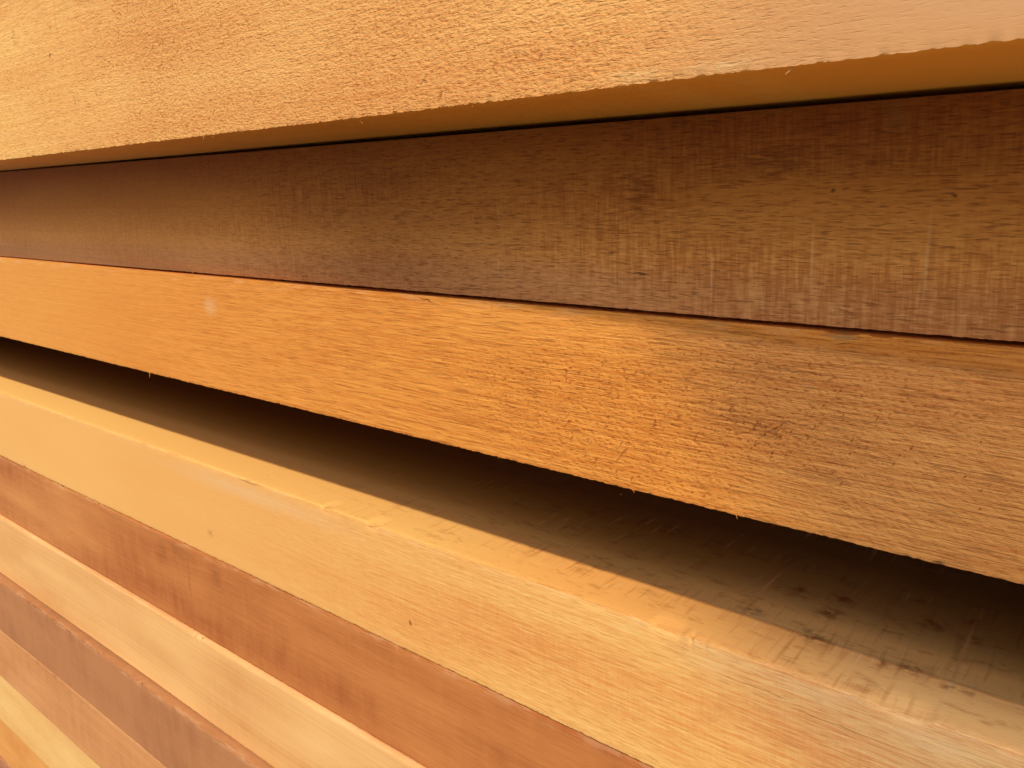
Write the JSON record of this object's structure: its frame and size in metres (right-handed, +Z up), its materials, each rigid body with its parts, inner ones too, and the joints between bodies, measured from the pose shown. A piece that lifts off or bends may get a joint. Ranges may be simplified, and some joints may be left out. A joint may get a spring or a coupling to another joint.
{
  "type": "stack of lumber",
  "caption": "Stack of rough-sawn hardwood boards in dead-stacked rows, split by cross bearers, with an askew, overhanging row of thicker beams on top.",
  "frame": {"origin": "on the floor at mid-length, under the middle board of the bottom row", "axes": "+X along the boards, +Y from the pictured front face to the back, +Z up"},
  "size_m": [2.4235, 0.7118, 0.6438],
  "materials": {
    "golden_wood": "rough-sawn, unfinished",
    "orange_wood": "rough-sawn, unfinished",
    "pale_wood": "rough-sawn, unfinished",
    "red_brown_wood": "rough-sawn, unfinished",
    "dark_brown_wood": "rough-sawn, unfinished",
    "bearer_wood": "rough-sawn, unfinished"
  },
  "bodies": {
    "root": {"bearer_left": "bearer_wood", "bearer_middle": "bearer_wood", "bearer_right": "bearer_wood", "lower_row1_board1": "red_brown_wood", "lower_row1_board2": "orange_wood", "lower_row1_board3": "dark_brown_wood", "lower_row1_board4": "orange_wood", "lower_row1_board5": "red_brown_wood", "lower_row2_board1": "orange_wood", "lower_row2_board2": "golden_wood", "lower_row2_board3": "pale_wood", "lower_row2_board4": "orange_wood", "lower_row2_board5": "dark_brown_wood", "lower_row3_board1": "golden_wood", "lower_row3_board2": "red_brown_wood", "lower_row3_board3": "golden_wood", "lower_row3_board4": "golden_wood", "lower_row3_board5": "pale_wood", "lower_row4_board1": "orange_wood", "lower_row4_board2": "dark_brown_wood", "lower_row4_board3": "orange_wood", "lower_row4_board4": "red_brown_wood", "lower_row4_board5": "golden_wood", "lower_row5_board1": "dark_brown_wood", "lower_row5_board2": "pale_wood", "lower_row5_board3": "orange_wood", "lower_row5_board4": "dark_brown_wood", "lower_row5_board5": "orange_wood", "lower_row6_board1": "pale_wood", "lower_row6_board2": "golden_wood", "lower_row6_board3": "golden_wood", "lower_row6_board4": "pale_wood", "lower_row6_board5": "orange_wood", "lower_row7_board1": "red_brown_wood", "lower_row7_board2": "orange_wood", "lower_row7_board3": "red_brown_wood", "lower_row7_board4": "golden_wood", "lower_row7_board5": "golden_wood", "lower_row8_board1": "golden_wood", "lower_row8_board2": "orange_wood", "lower_row8_board3": "dark_brown_wood", "lower_row8_board4": "orange_wood", "lower_row8_board5": "red_brown_wood", "top_row_beam1": "golden_wood", "top_row_beam2": "dark_brown_wood", "top_row_beam3": "orange_wood", "top_row_beam4": "red_brown_wood", "top_row_beam5": "golden_wood", "upper_row1_board1": "orange_wood", "upper_row1_board2": "golden_wood", "upper_row1_board3": "pale_wood", "upper_row1_board4": "orange_wood", "upper_row1_board5": "dark_brown_wood", "upper_row2_board1": "dark_brown_wood", "upper_row2_board2": "red_brown_wood", "upper_row2_board3": "golden_wood", "upper_row2_board4": "golden_wood", "upper_row2_board5": "pale_wood"}
  },
  "joints": []
}
